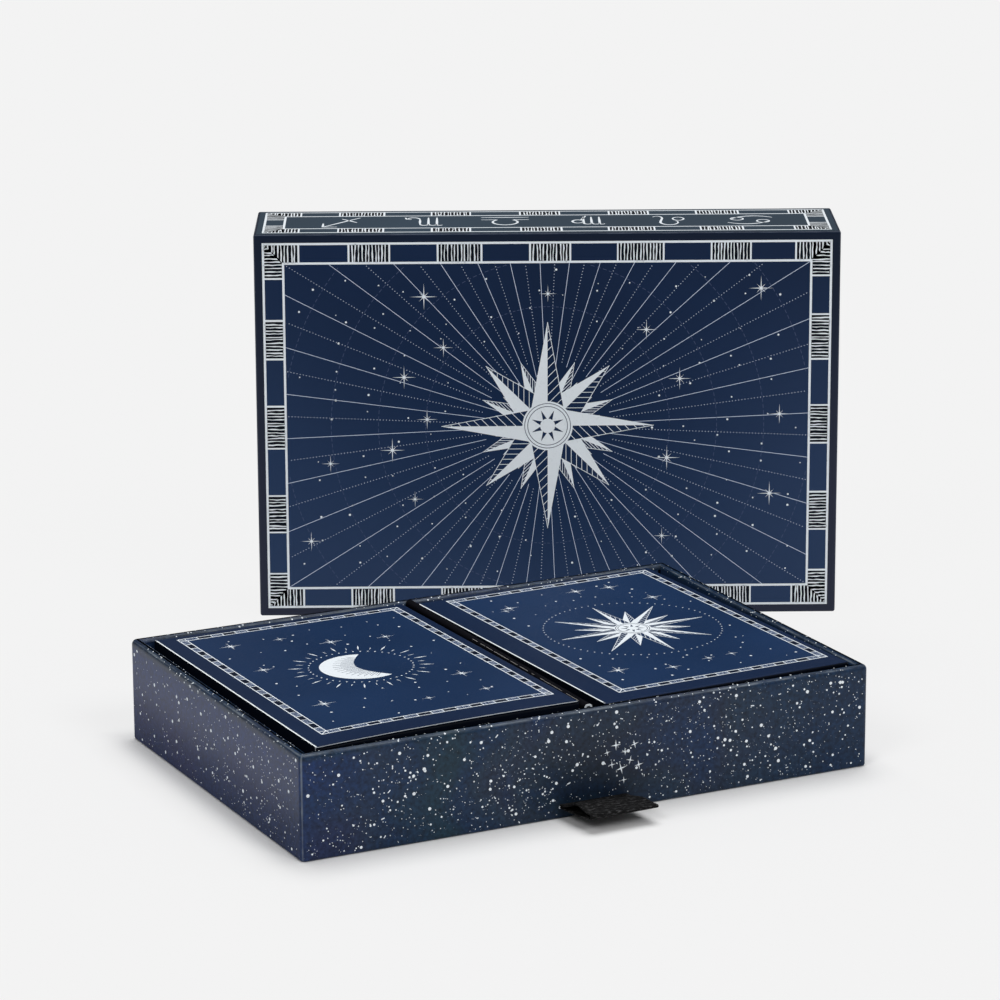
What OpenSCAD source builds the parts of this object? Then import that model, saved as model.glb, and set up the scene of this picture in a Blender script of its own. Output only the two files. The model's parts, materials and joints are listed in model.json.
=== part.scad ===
// Boxed set of two playing card decks: a drawer tray of wrapped board that holds two tuck boxes,
// and the slipcase sleeve that the tray slides into. The set lies as it is shown for sale: the
// sleeve stands on its open mouth, and the tray lies turned in front of it.
// Millimetres. +Z is up, +X runs along the sleeve's width, and +Y points from the tray to the sleeve.
// The origin is the centre of the tray's underside.

/* [Cards] */
// Width of a card
card_w = 63; // [55:0.5:75]
// Length of a card
card_l = 88; // [80:0.5:125]
// Thickness of a card
card_t = 0.29; // [0.24:0.01:0.36]
// Air between neighbouring cards
card_air = 0.01; // [0.005:0.005:0.03]
// Number of cards in a deck, jokers included
card_count = 54; // [36:1:56]
// Radius of a card's corners
card_r = 3.5; // [2:0.5:5]

/* [Tuck boxes] */
// Thickness of the tuck box's card
box_t = 0.35; // [0.25:0.05:0.6]
// Room on each side of the cards, along their width and their length
card_play = 0.25; // [0.1:0.05:1]
// Room over the stack of cards
stack_play = 0.4; // [0.1:0.1:2]
// Length of the flap that tucks in under the face panel
tuck_len = 17; // [8:0.5:25]
// Length of each dust flap
dust_len = 20; // [8:0.5:26]

/* [Boards and papers] */
// Thickness of the grey board
board_t = 2; // [1.2:0.1:3]
// Thickness of the printed wrapping paper
wrap_t = 0.2; // [0.1:0.05:0.4]
// Thickness of the black lining paper
lining_t = 0.2; // [0.1:0.05:0.4]
// Radius of the sleeve's upright edges
sleeve_edge_r = 0.6; // [0.5:0.1:2]

/* [Tray] */
// Gap between a deck and what stands round it
deck_gap = 0.2; // [0.1:0.05:1]
// Angle at which the left deck lies askew in its well
left_skew = 0.5; // [0:0.1:3]
// Angle at which the right deck lies askew in its well
right_skew = 1.9; // [0:0.1:3]
// Height of the rim above the decks' faces
rim_rise = 0.2; // [0:0.1:4]
// How far the wrap is turned in below the rim
turn_in = 12; // [4:0.5:16]

/* [Insert] */
// Thickness of the insert's card
insert_t = 0.5; // [0.3:0.1:0.8]
// Height of the insert's platforms above the tray floor
platform_h = 4.1; // [3:0.1:8]
// Width of the folded ridge between the decks
ridge_w = 2; // [1.8:0.1:4]
// Height of the ridge above the rim
ridge_rise = 0.4; // [0:0.1:0.6]
// Gap between the insert and the tray's walls
insert_gap = 0.1; // [0.05:0.05:0.3]

/* [Pull tab] */
// Width of the ribbon
ribbon_w = 17; // [10:0.5:25]
// Thickness of the ribbon
ribbon_t = 0.5; // [0.3:0.05:0.7]
// How far the loop stands out of the tray
tab_out = 12.5; // [8:0.5:20]
// Outer radius of the loop's fold
fold_r = 1.1; // [0.9:0.1:1.6]
// How far the ribbon's bend stands off the tray
tab_root = 0.8; // [0.4:0.1:1.5]
// Length over which the loop's two layers lie pressed together
pinch_len = 1.5; // [0.5:0.1:4]
// Length of the glued ribbon inside the tray
tail_len = 22; // [10:1:40]
// Play of the ribbon in its slit
slit_play = 0.2; // [0.1:0.05:0.5]

/* [Sleeve] */
// Play on each side of the tray in the sleeve
slide_play = 0.6; // [0.3:0.1:1.5]
// How far the tray stays inside the mouth when it is pushed home
mouth_depth = 0.6; // [0:0.1:3]
// Bare strip between the mouth and the lining's edge
lining_setback = 3; // [1:0.5:8]
// Gap between neighbouring hems, where the corners of the paper are cut away
hem_gap = 0.1; // [0.05:0.05:0.5]

/* [Arrangement] */
// Turn of the tray against the sleeve
tray_turn = 26; // [20:1:32]
// Place of the middle of the sleeve's foot, along X
sleeve_x = 14.7; // [0:0.1:30]
// Gap between the tray's rear corner and the sleeve's face
stand_gap = 36.8; // [20:0.1:80]

/* [Hidden] */
$fn = 48;
// Overlap that lets a cutting shape run clear of a face
cut = 1;

// A card stack and the tuck box round it: the closed end has one layer, the lid's end a lid and a
// dust flap, the floor one layer, and the top a face panel and a tuck flap
card_pitch = card_t + card_air;
box_w = card_w + 2 * card_play + 2 * box_t;
box_l = card_l + 2 * card_play + 3 * box_t;
box_h = card_count * card_pitch + stack_play + 3 * box_t;

// Room that a deck takes along and across its well when it lies askew
function askew_w(skew) = box_w * cos(skew) + box_l * sin(skew);
function askew_l(skew) = box_l * cos(skew) + box_w * sin(skew);

// The tray is built round the deck that lies most askew
wall = wrap_t + board_t + lining_t;
well_w = askew_w(max(left_skew, right_skew)) + 2 * deck_gap;
well_l = askew_l(max(left_skew, right_skew)) + 2 * deck_gap;
tray_in_w = 2 * well_w + ridge_w;
tray_in_d = well_l;
tray_w = tray_in_w + 2 * wall;
tray_d = tray_in_d + 2 * wall;
base_top = wrap_t + board_t;
floor_z = base_top + lining_t;
deck_z = floor_z + platform_h;
tray_h = deck_z + box_h + rim_rise;

// The tray's walls are round along the rim and at the upright corners. The rim's axis runs along the
// middle of the boards, between four corner axes
rim_r = wrap_t + board_t / 2;
rim_x = tray_w / 2 - rim_r;
rim_y = tray_d / 2 - rim_r;
rim_z = tray_h - rim_r;

// The sleeve is built round the tray
sleeve_in_w = tray_w + 2 * slide_play;
sleeve_in_t = tray_h + 2 * slide_play;
sleeve_in_h = tray_d + mouth_depth;
sleeve_w = sleeve_in_w + 2 * wall;
sleeve_t = sleeve_in_t + 2 * wall;
sleeve_h = sleeve_in_h + wall;

// The sleeve's face stands behind the rear corner of the turned tray
sleeve_y = tray_w / 2 * sin(tray_turn) + tray_d / 2 * cos(tray_turn) + stand_gap;

// The ribbon leaves the tray double, at the height of the tray floor
ribbon_pair = 2 * ribbon_t;
slit_h = ribbon_pair + slit_play;
fold_from_root = tab_out - tab_root - fold_r;

navy = "midnightblue";
starry = "darkslateblue";
grey_board = "darkgray";
near_black = "dimgray";
raw_card = "whitesmoke";

// Moves a shape from the tray's own frame to its place
module in_tray() {
    rotate([0, 0, tray_turn]) children();
}

// Moves a shape from the sleeve's own frame, whose face is at y = 0, to its place
module in_sleeve() {
    translate([sleeve_x, sleeve_y, 0]) children();
}

// Moves a deck to its well: it leans on the ridge and on the back wall. side is -1 for left, 1 for right
module in_well(side, skew) {
    x = side * (ridge_w / 2 + deck_gap + askew_w(skew) / 2);
    y = well_l / 2 - deck_gap - askew_l(skew) / 2;
    in_tray() translate([x, y, deck_z]) rotate([0, 0, skew]) children();
}

// A flat shape with round corners, centred
module round_rect(w, d, r) {
    square([w - 2 * r, d], center = true);
    square([w, d - 2 * r], center = true);
    for (sx = [-1, 1], sy = [-1, 1])
        translate([sx * (w / 2 - r), sy * (d / 2 - r)]) circle(r);
}

// A block with round upright corners, centred on the Z axis, between two heights
module post(w, d, r, z0, z1) {
    translate([0, 0, z0]) linear_extrude(z1 - z0) round_rect(w, d, r);
}

// A block between two heights, centred on the Z axis
module slab(w, d, z0, z1) {
    translate([-w / 2, -d / 2, z0]) cube([w, d, z1 - z0]);
}

// Sleeve: all its solids are made round the Z axis, then moved back by half the sleeve's thickness
module sleeve_frame(shade) {
    color(shade) in_sleeve() translate([0, sleeve_t / 2, 0]) children();
}

// The space that the sleeve's boards fill, round corners included
module sleeve_envelope(z0, z1) {
    post(sleeve_w - 2 * wrap_t, sleeve_t - 2 * wrap_t, sleeve_edge_r - wrap_t, z0, z1);
}

// A broad board: the front or the back of the envelope, side is -1 for the face
module sleeve_broad_board(side) {
    y = side * (sleeve_t / 2 - wrap_t - board_t / 2);
    sleeve_frame(grey_board) intersection() {
        sleeve_envelope(wrap_t, sleeve_h - wrap_t);
        translate([0, y, 0]) slab(sleeve_w, board_t, 0, sleeve_h);
    }
}

// A narrow board between the two broad ones, under the spine board
module sleeve_side_board(side) {
    x = side * (sleeve_w / 2 - wrap_t - board_t / 2);
    sleeve_frame(grey_board) translate([x, 0, 0])
        slab(board_t, sleeve_in_t + 2 * lining_t, wrap_t, sleeve_h - wrap_t - board_t);
}

module sleeve_face_board() {
    sleeve_broad_board(-1);
}

module sleeve_back_board() {
    sleeve_broad_board(1);
}

module sleeve_spine_board() {
    sleeve_frame(grey_board)
        slab(sleeve_w - 2 * wrap_t, sleeve_in_t + 2 * lining_t, sleeve_h - wrap_t - board_t, sleeve_h - wrap_t);
}

module sleeve_left_board() {
    sleeve_side_board(-1);
}

module sleeve_right_board() {
    sleeve_side_board(1);
}

// Printed paper over the face, back, spine and both sides
module sleeve_wrap() {
    sleeve_frame(navy) difference() {
        post(sleeve_w, sleeve_t, sleeve_edge_r, wrap_t, sleeve_h);
        sleeve_envelope(0, sleeve_h - wrap_t);
    }
}

// The wrap's four hems, folded over the boards' edges at the mouth: the sleeve stands on them
module sleeve_mouth_hems() {
    hem = wrap_t + board_t;
    sleeve_frame(navy) {
        for (side = [-1, 1]) {
            intersection() {
                post(sleeve_w, sleeve_t, sleeve_edge_r, 0, wrap_t);
                translate([0, side * (sleeve_t / 2 - hem / 2), 0]) slab(sleeve_w, hem, 0, wrap_t);
            }
            translate([side * (sleeve_w / 2 - hem / 2), 0, 0])
                slab(hem, sleeve_t - 2 * hem - 2 * hem_gap, 0, wrap_t);
        }
    }
}

// Paper on the five inner faces, set back from the mouth
module sleeve_lining() {
    sleeve_frame(near_black) difference() {
        slab(sleeve_in_w + 2 * lining_t, sleeve_in_t + 2 * lining_t, lining_setback, sleeve_in_h + lining_t);
        slab(sleeve_in_w, sleeve_in_t, 0, sleeve_in_h);
    }
}

// The cross-section of a wall of the tray about its middle, with a round top, from a foot at z0
module wall_section(t, z0) {
    translate([-t / 2, z0]) square([t, rim_z - z0]);
    translate([0, rim_z]) circle(t / 2);
}

// A straight wall along X or, turned, along Y, of the length given
module straight_wall(t, z0, length) {
    rotate([90, 0, 90]) linear_extrude(length, center = true) wall_section(t, z0);
}

// The round post of a wall's thickness that ends two walls at a corner
module corner_post(t, z0) {
    rotate_extrude() intersection() {
        wall_section(t, z0);
        translate([0, z0]) square([t, tray_h]);
    }
}

// A long wall with both its corner posts, side is -1 for the front
module long_wall(side, t, z0) {
    translate([0, side * rim_y, 0]) {
        straight_wall(t, z0, 2 * rim_x);
        for (end = [-1, 1]) translate([end * rim_x, 0, 0]) corner_post(t, z0);
    }
}

// A short wall, side is -1 for the left
module short_wall(side, t, z0, length) {
    translate([side * rim_x, 0, 0]) rotate([0, 0, 90]) straight_wall(t, z0, length);
}

// All four walls, of one thickness
module tray_walls(t, z0) {
    for (side = [-1, 1]) {
        long_wall(side, t, z0);
        short_wall(side, t, z0, 2 * rim_y);
    }
}

// The space inside the tray's boards
module tray_hollow(z0, z1) {
    slab(tray_in_w + 2 * lining_t, tray_in_d + 2 * lining_t, z0, z1);
}

// The slit low in the front wall that the ribbon leaves by
module ribbon_slit() {
    translate([0, -tray_d / 2 + wall / 2, 0])
        slab(ribbon_w + 2 * slit_play, wall + 2 * cut, floor_z, floor_z + slit_h);
}

module tray_base_board() {
    color(grey_board) in_tray() post(tray_w - 2 * wrap_t, tray_d - 2 * wrap_t, board_t / 2, wrap_t, base_top);
}

module tray_front_board() {
    color(grey_board) in_tray() difference() {
        long_wall(-1, board_t, base_top);
        ribbon_slit();
    }
}

module tray_back_board() {
    color(grey_board) in_tray() long_wall(1, board_t, base_top);
}

// A short board stands between the two long ones
module tray_short_board(side) {
    color(grey_board) in_tray() short_wall(side, board_t, base_top, 2 * rim_y - board_t);
}

module tray_left_board() {
    tray_short_board(-1);
}

module tray_right_board() {
    tray_short_board(1);
}

// Printed paper over the four walls, turned over the rim and down the inside
module tray_wrap() {
    color(starry) in_tray() difference() {
        tray_walls(2 * rim_r, wrap_t);
        tray_walls(board_t, 0);
        tray_hollow(0, tray_h - turn_in);
        slab(tray_in_w, tray_in_d, 0, tray_h + cut);
        ribbon_slit();
    }
}

// Paper under the tray, which the tray rests on
module tray_base_paper() {
    color(navy) in_tray() post(tray_w, tray_d, rim_r, 0, wrap_t);
}

// Black paper on the tray's floor and up its inner walls, as far as the turned-in wrap
module tray_lining() {
    color(near_black) in_tray() difference() {
        tray_hollow(base_top, tray_h - turn_in);
        slab(tray_in_w, tray_in_d, floor_z, tray_h);
        ribbon_slit();
    }
}

// One folded card: two platforms on skirts raise the decks to the rim, and the ridge parts them
module deck_insert() {
    w = tray_in_w - 2 * insert_gap;
    d = tray_in_d - 2 * insert_gap;
    ridge_top = tray_h + ridge_rise;
    color(near_black) in_tray() difference() {
        union() {
            slab(w, d, floor_z, deck_z);
            slab(ridge_w, d, deck_z, ridge_top);
        }
        slab(w - 2 * insert_t, d - 2 * insert_t, floor_z - cut, deck_z - insert_t);
        slab(ridge_w - 2 * insert_t, d + cut, floor_z - cut, ridge_top - insert_t);
        translate([0, -tray_in_d / 2, 0])
            slab(ribbon_w + 2 * slit_play, 2 * (insert_gap + insert_t) + cut, floor_z - cut, floor_z + slit_h);
    }
}

// Moves a shape drawn in the plane of the ribbon's length and height to the end of the glued ribbon,
// at its upper face, and gives it the ribbon's width
module ribbon_strip() {
    in_tray() translate([-ribbon_w / 2, -tray_d / 2 - tab_root, floor_z + ribbon_pair])
        rotate([90, 0, 90]) linear_extrude(ribbon_w) mirror([1, 0]) children();
}

// The loop's outline from the bend at the origin: a wedge that opens to the round fold
module loop_outline() {
    translate([fold_from_root, -ribbon_t]) circle(fold_r);
    polygon([
        [0, -ribbon_pair], [fold_from_root, -ribbon_t - fold_r],
        [fold_from_root, -ribbon_t + fold_r], [0, 0]
    ]);
}

// The space between the loop's two layers
module loop_hollow() {
    inner_r = fold_r - ribbon_t;
    translate([fold_from_root, -ribbon_t]) circle(inner_r);
    polygon([
        [pinch_len, -ribbon_t], [fold_from_root, -ribbon_t - inner_r], [fold_from_root, -ribbon_t + inner_r]
    ]);
}

// The loop of ribbon outside the tray, which the hand pulls
module pull_tab() {
    color(near_black) ribbon_strip() difference() {
        loop_outline();
        loop_hollow();
    }
}

// The two ends of the ribbon, pressed together through the slit and glued to the tray floor
module pull_tab_tail() {
    run = tab_root + wall + tail_len;
    color(near_black) ribbon_strip() translate([-run, -ribbon_pair]) square([run, ribbon_pair]);
}

// Turns a tuck box so that its lid is at the near end, for the deck that lies that way round
module lid_end(near) {
    mirror([0, near ? 1 : 0, 0]) children();
}

// The tuck box without its lid, lying on its back, with the open end at +Y. The left side panel's raw
// edge comes up beside the face panel
module box_shell() {
    difference() {
        slab(box_w, box_l, 0, box_h);
        translate([0, box_t + cut / 2, 0]) slab(box_w - 2 * box_t, box_l - box_t + cut, box_t, box_h - box_t);
        translate([0, box_l / 2, 0]) slab(box_w + cut, 2 * box_t, -cut, box_h - box_t);
    }
}

// The lid panel over the open end, with its flap tucked in under the face panel
module box_lid() {
    translate([0, box_l / 2 - box_t / 2, 0]) slab(box_w, box_t, 0, box_h - box_t);
    translate([0, box_l / 2 - box_t - tuck_len / 2, 0])
        slab(box_w - 2 * box_t, tuck_len, box_h - 2 * box_t, box_h - box_t);
}

// The two dust flaps behind the lid panel
module box_dust_flaps() {
    for (side = [-1, 1])
        translate([side * (box_w / 2 - box_t - dust_len / 2), box_l / 2 - 1.5 * box_t, 0])
            slab(dust_len, box_t, box_t, box_h - 2 * box_t);
}

// The stack of separate cards
module card_stack() {
    for (i = [0:card_count - 1])
        translate([0, -box_t / 2, 0])
            post(card_w, card_l, card_r, box_t + i * card_pitch, box_t + i * card_pitch + card_t);
}

module left_deck(shade) {
    color(shade) in_well(-1, left_skew) lid_end(true) children();
}

module right_deck(shade) {
    color(shade) in_well(1, right_skew) lid_end(false) children();
}

module left_box_shell() {
    left_deck(navy) box_shell();
}

module left_box_lid() {
    left_deck(navy) box_lid();
}

module left_box_dust_flaps() {
    left_deck(raw_card) box_dust_flaps();
}

module left_cards() {
    left_deck(raw_card) card_stack();
}

module right_box_shell() {
    right_deck(navy) box_shell();
}

module right_box_lid() {
    right_deck(navy) box_lid();
}

module right_box_dust_flaps() {
    right_deck(raw_card) box_dust_flaps();
}

module right_cards() {
    right_deck(raw_card) card_stack();
}

sleeve_face_board();
sleeve_back_board();
sleeve_spine_board();
sleeve_left_board();
sleeve_right_board();
sleeve_wrap();
sleeve_mouth_hems();
sleeve_lining();
tray_base_board();
tray_front_board();
tray_back_board();
tray_left_board();
tray_right_board();
tray_wrap();
tray_base_paper();
tray_lining();
deck_insert();
pull_tab();
pull_tab_tail();
left_box_shell();
left_box_lid();
left_box_dust_flaps();
left_cards();
right_box_shell();
right_box_lid();
right_box_dust_flaps();
right_cards();
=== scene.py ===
"""A boxed set of two card decks: a wrapped drawer tray with two tuck boxes, and its slipcase sleeve.

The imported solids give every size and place. This script dresses them: papers wrapped round the boards,
folded card with raw edges, a ribbed ribbon, and prints as thin layers of ink.
Lengths are millimetres in each piece's own frame, and Place.out turns them into metres of the row frame.
"""
import json
import math

import bpy
import numpy as np
from mathutils import Matrix


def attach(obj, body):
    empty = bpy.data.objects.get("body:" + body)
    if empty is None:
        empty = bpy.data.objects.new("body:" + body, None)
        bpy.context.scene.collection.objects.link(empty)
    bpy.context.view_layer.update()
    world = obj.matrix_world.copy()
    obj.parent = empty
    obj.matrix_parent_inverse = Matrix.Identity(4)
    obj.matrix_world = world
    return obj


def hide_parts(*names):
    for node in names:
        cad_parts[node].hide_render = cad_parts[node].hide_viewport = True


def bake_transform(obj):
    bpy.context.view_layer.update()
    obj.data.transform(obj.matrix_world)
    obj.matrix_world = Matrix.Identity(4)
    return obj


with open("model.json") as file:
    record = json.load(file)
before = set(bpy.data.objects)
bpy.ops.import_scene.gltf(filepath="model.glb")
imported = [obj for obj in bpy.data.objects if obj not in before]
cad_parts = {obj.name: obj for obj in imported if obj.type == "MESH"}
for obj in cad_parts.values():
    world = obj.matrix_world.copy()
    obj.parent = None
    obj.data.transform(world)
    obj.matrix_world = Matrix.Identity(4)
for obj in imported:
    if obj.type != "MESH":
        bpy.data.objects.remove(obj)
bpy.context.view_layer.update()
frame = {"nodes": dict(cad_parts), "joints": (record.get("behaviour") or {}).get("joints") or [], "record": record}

MM = 0.001
TINY = 1e-6
QUARTER, ROUND = math.pi / 2, 2 * math.pi
random = np.random.default_rng(26)


# Frames of the pieces

class Place:
    """A piece's own upright frame: its origin, in millimetres of the row frame, and its turn about Z."""

    def __init__(self, origin, turn):
        c, s = math.cos(turn), math.sin(turn)
        self.origin = np.array(origin, float)
        self.axes = np.array([[c, s, 0], [-s, c, 0], [0, 0, 1]])

    def out(self, points):
        """Points of this frame, in metres of the row frame."""
        return (points @ self.axes + self.origin) * MM

    def box(self, *nodes):
        """Lowest and highest corner of CAD nodes, along this frame's axes."""
        points = np.concatenate([node_points(n) for n in nodes])
        own = (points - self.origin) @ self.axes.T
        return own.min(0), own.max(0)

    def size(self, *nodes):
        """Extents of CAD nodes along this frame's axes."""
        low, high = self.box(*nodes)
        return high - low


class LiftedBox(Place):
    """A tuck box's frame, in which the front edge of its face stands up a little, as loose card does.

    The height z grows by z / H * (1/2 - y / L) * (right * (1/2 + x / W) + bow * (1 - (2 x / W) ** 2)).
    """

    def __init__(self, flat, right, bow):
        self.origin, self.axes, self.right, self.bow = flat.origin, flat.axes, right, bow

    def out(self, points):
        x, y, z = np.moveaxis(points, -1, 0)
        lift = self.right * (0.5 + x / BOX_W) + self.bow * (1 - (2 * x / BOX_W) ** 2)
        return super().out(np.stack([x, y, z + z / BOX_H * (0.5 - y / BOX_L) * lift], -1))


def node_points(name):
    """A CAD node's points, in millimetres of the row frame."""
    mesh = frame["nodes"][name].data
    flat = np.empty(3 * len(mesh.vertices))
    mesh.vertices.foreach_get("co", flat)
    return flat.reshape(-1, 3) / MM


def deck_place(shell):
    """A tuck box's frame: the nearest corner and the rightmost one are the two ends of its front edge."""
    points = node_points(shell)
    near, right = points[points[:, 1].argmin()], points[points[:, 0].argmax()]
    turned = Place((0, 0, 0), math.atan2(right[1] - near[1], right[0] - near[0]))
    low, high = turned.box(shell)
    turned.origin = np.array([(low[0] + high[0]) / 2, (low[1] + high[1]) / 2, low[2]]) @ turned.axes
    return turned


row = Place((0, 0, 0), 0)
flex_axis = next(j for j in frame["joints"] if j["name"] == "pull_tab_flex")["axis"]
tray = Place((0, 0, 0), math.atan2(-flex_axis[1], -flex_axis[0]))
sleeve_low, sleeve_high = row.box("sleeve_wrap", "sleeve_mouth_hems")
sleeve = Place(((sleeve_low[0] + sleeve_high[0]) / 2, sleeve_low[1], 0), 0)
decks = {side: deck_place(f"{side}_box_shell") for side in ("left", "right")}

# Sizes that the solids give
SLEEVE_W, SLEEVE_T, SLEEVE_H = sleeve_high - sleeve_low
TRAY_W, TRAY_D, TRAY_H = tray.size("tray_wrap", "tray_base_paper")
WRAP_T = tray.box("tray_base_paper")[1][2]
BOARD_T = row.size("sleeve_face_board")[1]
LINING_SETBACK = row.box("sleeve_lining")[0][2]
LINING_TOP = tray.box("tray_lining")[1][2]
BOX_W, BOX_L, BOX_H = decks["left"].size("left_box_shell")
CARD_T = BOX_H - decks["left"].box("left_box_lid")[1][2]
RIM_R = WRAP_T + BOARD_T / 2
WALL = BOARD_T + 2 * WRAP_T

# Sizes of the finish
SLEEVE_EDGE_R = 0.6
FOOT_R = 0.6
TURN_IN = 0.3
FOLD_R = 0.55
SEAM = 0.4
CARD_STEP = 4.0
INK_STEP = 3.0
INK_RISE = 0.03
INK_SINK = 0.02
SHARP = math.radians(35)

# A print's inks, and the heights of its layers over the common one
BRIGHT, FAINT, FIELD, FINE, NIGHT = range(5)
PANEL_LAYER, GROUND_LAYER, BLOCK_LAYER, LAYER = -0.02, -0.015, -0.008, 0.003

# A folded card's finishes: printed face, raw card, and a third one
FACE, RAW, THIRD = range(3)


# Surfaces

class Parts:
    """The points, faces and edge marks of one piece, gathered from several closed surfaces.

    An edge mark stands for worn ink and painted highlight at once.
    """

    def __init__(self):
        self.points, self.wear, self.faces, self.finishes = [], [], [], []
        self.count = 0

    def add(self, points, *groups, wear=0.0):
        """Adds points in the row frame, and groups of faces (M, K) with the number of their finish."""
        points = points.reshape(-1, 3)
        for faces, finish in groups:
            self.faces += (faces + self.count).tolist()
            self.finishes += [finish] * len(faces)
        self.points.append(points)
        self.wear.append(np.broadcast_to(wear, len(points)))
        self.count += len(points)


def link(name, data):
    """A new object in the scene."""
    thing = bpy.data.objects.new(name, data)
    bpy.context.scene.collection.objects.link(thing)
    return thing


def make(name, parts, body, slot, finishes, replaced=(), **marks):
    """A mesh piece from gathered parts, smooth except along its sharp folds, riding on a body.

    Each mark is a value per point that the piece's finish reads, as it reads the edge mark of worn ink
    and painted highlight.
    """
    mesh = bpy.data.meshes.new(name)
    mesh.from_pydata(np.concatenate(parts.points).tolist(), [], parts.faces)
    mesh.polygons.foreach_set("material_index", parts.finishes)
    marks["wear"] = np.concatenate(parts.wear)
    for mark, values in marks.items():
        mesh.attributes.new(mark, "FLOAT", "POINT").data.foreach_set("value", values.astype(np.float32))
    for finish in finishes:
        mesh.materials.append(finish)
    mesh.shade_smooth()
    mesh.set_sharp_from_angle(angle=SHARP)
    piece = link(name, mesh)
    if body:
        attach(piece, body)
    if replaced:
        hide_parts(*replaced)
    return piece


def ways(angles):
    """Unit steps (..., 2) at angles."""
    return np.stack([np.cos(angles), np.sin(angles)], -1)


def left_of(steps):
    """Steps (..., 2) turned a quarter to the left."""
    return np.stack([-steps[..., 1], steps[..., 0]], -1)


def quarter_turn(turn):
    """The matrix that turns rows of points by quarter turns."""
    c, s = [(1, 0), (0, 1), (-1, 0), (0, -1)][turn]
    return np.array([[c, s], [-s, c]])


def quads(rows, columns, close_rows=False):
    """Faces of a grid whose lines close on themselves, and whose last line may join its first."""
    r = np.arange(rows if close_rows else rows - 1)[:, None]
    c = np.arange(columns)[None, :]
    r1, c1 = (r + 1) % rows, (c + 1) % columns
    corners = [r * columns + c, r * columns + c1, r1 * columns + c1, r1 * columns + c]
    return np.stack(corners, -1).reshape(-1, 4)


def caps(rows, columns, finish=0):
    """Flat panels that close the first and the last line of such a grid."""
    end = np.arange(columns)[None]
    return [(end[:, ::-1], finish), (end + (rows - 1) * columns, finish)]


def by_finish(faces, kinds):
    """Faces in groups of one finish each."""
    return [(faces[kinds == kind], int(kind)) for kind in np.unique(kinds)]


def rounded_path(corners, radii, steps=6, guard=0.25):
    """A path through corners, with an arc at each inner corner that has a radius.

    A guard point on both sides of an arc keeps the flats beside it flat. Also returns how near each point is
    to an arc's crest, as sin(pi t) along the arc.
    """
    corners, level = np.array(corners, float), np.zeros(1)
    points, bends = [corners[:1]], [level]
    for before, here, after, radius in zip(corners, corners[1:], corners[2:], radii):
        if not radius:
            points.append(here[None])
            bends.append(level)
            continue
        into = (here - before) / np.linalg.norm(here - before)
        onward = (after - here) / np.linalg.norm(after - here)
        turn = math.atan2(into[0] * onward[1] - into[1] * onward[0], into @ onward)
        reach = radius * math.tan(abs(turn) / 2)
        side = math.copysign(1, turn) * left_of(into)
        angle = np.linspace(0, abs(turn), steps + 1)[:, None]
        arc = here - into * reach + side * radius + radius * (np.sin(angle) * into - np.cos(angle) * side)
        points += [arc[:1] - guard * into, arc, arc[-1:] + guard * onward]
        bends += [level, np.sin(np.linspace(0, math.pi, steps + 1)), level]
    return np.concatenate(points + [corners[-1:]]), np.concatenate(bends + [level])


def beside(path, distance):
    """The path moved to its left by a distance, mitred at its points."""
    step = np.diff(path, axis=0)
    normal = left_of(step) / np.linalg.norm(step, axis=1)[:, None]
    before, after = np.vstack([normal[:1], normal]), np.vstack([normal, normal[-1:]])
    mitre = (before + after) / (1 + (before * after).sum(1))[:, None]
    return path + distance * mitre


def finer(path, step):
    """The path with more points, none farther apart than a step."""
    run = np.r_[0, np.cumsum(np.linalg.norm(np.diff(path, axis=0), axis=1))]
    extra = [np.linspace(a, b, int((b - a) / step) + 2)[1:] for a, b in zip(run, run[1:])]
    at = np.concatenate([run[:1]] + extra)
    return np.stack([np.interp(at, run, path[:, 0]), np.interp(at, run, path[:, 1])], -1)


def folded(parts, place, across, path, thickness, low, high, outside=FACE, rows=2, sides=RAW):
    """A folded sheet: path is its outer face in the plane of Z and the axis across, 0 for X or 1 for Y.

    It runs from low to high along the other axis, and its inner face lies to the path's left. outside is the
    finish of the outer face, or one for each of the path's steps. The inner face and the path's ends are raw,
    and sides is the finish of the edges at low and high.
    """
    loop = np.vstack([path, beside(path, thickness)[::-1]])
    low, high = [np.r_[end, end[::-1]] for end in np.broadcast_arrays(low, high, path[:, 0])[:2]]
    points = np.empty((rows, len(loop), 3))
    points[..., across], points[..., 2] = loop[:, 0], loop[:, 1]
    points[..., 1 - across] = low + (high - low) * np.linspace(0, 1, rows)[:, None]
    n = len(path)
    around = quads(rows, 2 * n)
    first = np.arange(n - 1)
    ends = np.stack([first, 2 * n - 1 - first, 2 * n - 2 - first, first + 1], -1)
    ends = np.vstack([ends, ends[:, ::-1] + 2 * n * (rows - 1)])
    turned = np.roll(loop, -1, 0)
    area = (loop[:, 0] * turned[:, 1] - loop[:, 1] * turned[:, 0]).sum()
    if (area > 0) != (across == 1):
        around, ends = around[:, ::-1], ends[:, ::-1]
    kinds = np.tile(np.r_[np.broadcast_to(outside, n - 1), np.full(n + 1, RAW)], rows - 1)
    parts.add(place.out(points), *by_finish(around, kinds), (ends, sides))


def rings(width, depth, insets, radii, steps=8, guard=0.3):
    """Rectangles round the origin, each drawn in by an inset, with arcs of a radius at the corners.

    Returns points (R, N, 2), counter-clockwise, and how near each of the N is to the crest of an arc. A guard
    point stands on both sides of each arc.
    """
    half = np.array([width, depth]) / 2 - insets[:, None]
    arc = ways(np.linspace(0, QUARTER, steps + 1))
    bend = np.r_[0, np.sin(np.linspace(0, math.pi, steps + 1)), 0]
    corners = []
    for turn in range(4):
        spin = quarter_turn(turn)
        centre = (half - radii[:, None]) * np.sign(np.array([1, 1]) @ spin)
        line = centre[:, None] + radii[:, None, None] * (arc @ spin)
        into, onward = spin[1], -spin[0]
        corners += [line[:, :1] - guard * into, line, line[:, -1:] + guard * onward]
    return np.concatenate(corners, 1), np.tile(bend, 4)


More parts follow.
